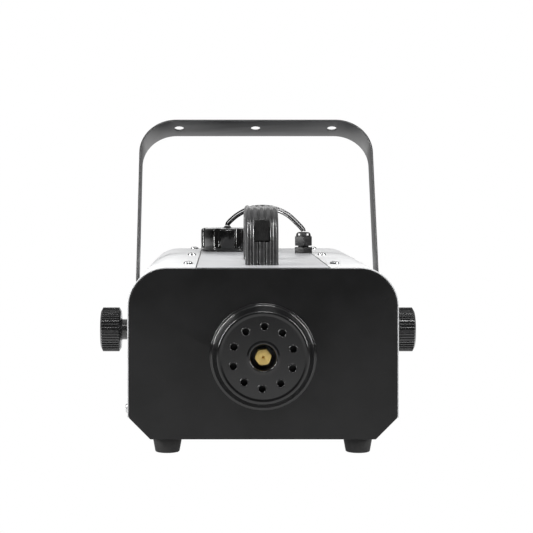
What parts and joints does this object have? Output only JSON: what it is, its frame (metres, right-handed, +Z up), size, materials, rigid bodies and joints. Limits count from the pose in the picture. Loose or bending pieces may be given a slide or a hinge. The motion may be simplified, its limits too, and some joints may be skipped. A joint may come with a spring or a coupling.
{
  "type": "fog machine",
  "caption": "Stage fog machine: lacquered steel housing with a vented nozzle shroud, tilting yoke with clamping knobs, carry handle and a filler cap whose hose loops to a gland.",
  "frame": {"origin": "bottom centre of the whole machine, on the surface its feet stand on", "axes": "+Z up, -Y towards the nozzle and the front panel, +Y along the housing to the rear panel, +X to the right seen from the front"},
  "size_m": [0.3368, 0.4698, 0.3266],
  "materials": {
    "black_paint": "satin black powder coat",
    "cover_paint": "light silver-white lacquer",
    "top_paint": "light grey lacquer",
    "gloss_black": "moulded gloss black",
    "matte_black": "moulded matte black",
    "rubber": "black rubber",
    "steel": "zinc-plated steel",
    "brass": "turned brass",
    "aluminium": "cast aluminium",
    "fibre_sleeve": "ceramic fibre",
    "copper_tube": "soft copper tube",
    "tank_plastic": "natural polyethylene",
    "circuit_board": "green laminate",
    "lamp_lens": "clear red lens",
    "hose": "glossy black tube"
  },
  "bodies": {
    "root": {"base_pan": "black_paint", "board_rail_left": "matte_black", "board_rail_right": "matte_black", "control_board": "circuit_board", "feed_tube": "copper_tube", "fluid_hose": "hose", "fluid_tank": "tank_plastic", "foot_front_left": "rubber", "foot_front_right": "rubber", "foot_rear_left": "rubber", "foot_rear_right": "rubber", "front_panel": "black_paint", "gland_body": "matte_black", "gland_locknut": "matte_black", "gland_nut": "matte_black", "handle": "gloss_black", "heater_block": "aluminium", "heater_bracket_front": "steel", "heater_bracket_rear": "steel", "heater_insulation": "fibre_sleeve", "indicator_lamp": "lamp_lens", "inner_hose": "hose", "left_cover": "cover_paint", "left_friction_pad": "rubber", "left_weld_nut": "steel", "level_lead": "hose", "mains_inlet": "matte_black", "nozzle": "brass", "nozzle_pipe": "steel", "nozzle_shroud": "black_paint", "pump_barrel": "brass", "pump_bracket": "steel", "pump_coil": "matte_black", "pump_spring": "steel", "rear_panel": "black_paint", "relay": "matte_black", "remote_socket": "matte_black", "right_cover": "cover_paint", "right_friction_pad": "rubber", "right_weld_nut": "steel", "switch_frame": "matte_black", "thermal_fuse": "steel", "thermostat": "steel", "top_plate": "top_paint"},
    "bracket": {"yoke_bracket": "black_paint"},
    "left_knob_carrier": {"left_knob_washer": "steel"},
    "left_knob_body": {"left_knob": "matte_black", "left_knob_stud": "steel"},
    "right_knob_carrier": {"right_knob_washer": "steel"},
    "right_knob_body": {"right_knob": "matte_black", "right_knob_stud": "steel"},
    "cap_carrier": {"cap_hose_fitting": "matte_black", "pickup_tube": "tank_plastic", "pickup_filter": "brass"},
    "cap": {"tank_cap": "gloss_black", "cap_seal": "rubber"},
    "rocker": {"switch_rocker": "gloss_black"},
    "drawer": {"fuse_drawer": "matte_black"},
    "plunger": {"pump_plunger": "steel"}
  },
  "joints": [
    {"name": "bracket_tilt", "type": "hinge", "parent": "root", "child": "bracket", "pos_m": [0, 0.00265, 0.0965], "axis": [1, 0, 0], "range_deg": [-34, 86]},
    {"name": "left_knob_travel", "type": "slide", "parent": "root", "child": "left_knob_carrier", "axis": [-1, 0, 0], "range_m": [0, 0.0026]},
    {"name": "left_knob_turn", "type": "hinge", "parent": "left_knob_carrier", "child": "left_knob_body", "pos_m": [-0.15, 0.00265, 0.0965], "axis": [-1, 0, 0], "range_deg": [0, 720]},
    {"name": "right_knob_travel", "type": "slide", "parent": "root", "child": "right_knob_carrier", "axis": [1, 0, 0], "range_m": [0, 0.0026]},
    {"name": "right_knob_turn", "type": "hinge", "parent": "right_knob_carrier", "child": "right_knob_body", "pos_m": [0.15, 0.00265, 0.0965], "axis": [1, 0, 0], "range_deg": [0, 720]},
    {"name": "cap_lift", "type": "slide", "parent": "root", "child": "cap_carrier", "axis": [0, 0, 1], "range_m": [0, 0.0062], "deforming": ["fluid_hose", "level_lead"]},
    {"name": "cap_turn", "type": "hinge", "parent": "cap_carrier", "child": "cap", "pos_m": [-0.032, 0.15215, 0.19], "axis": [0, 0, 1], "range_deg": [0, 540]},
    {"name": "switch_rock", "type": "hinge", "parent": "root", "child": "rocker", "pos_m": [0.08, 0.22795, 0.095], "axis": [1, 0, 0], "range_deg": [-18, 0]},
    {"name": "fuse_drawer_slide", "type": "slide", "parent": "root", "child": "drawer", "axis": [0, 1, 0], "range_m": [0, 0.016]},
    {"name": "pump_stroke", "type": "slide", "parent": "root", "child": "plunger", "axis": [0, 1, 0], "range_m": [-0.0015, 0.0015], "stiffness_N_per_m": 600, "deforming": ["pump_spring"]}
  ],
  "couplings": [
    {"joint": "left_knob_travel", "follows": "left_knob_turn", "m_per_rad": 0.00019894},
    {"joint": "right_knob_travel", "follows": "right_knob_turn", "m_per_rad": 0.00019894},
    {"joint": "cap_lift", "follows": "cap_turn", "m_per_rad": 0.00063662}
  ]
}
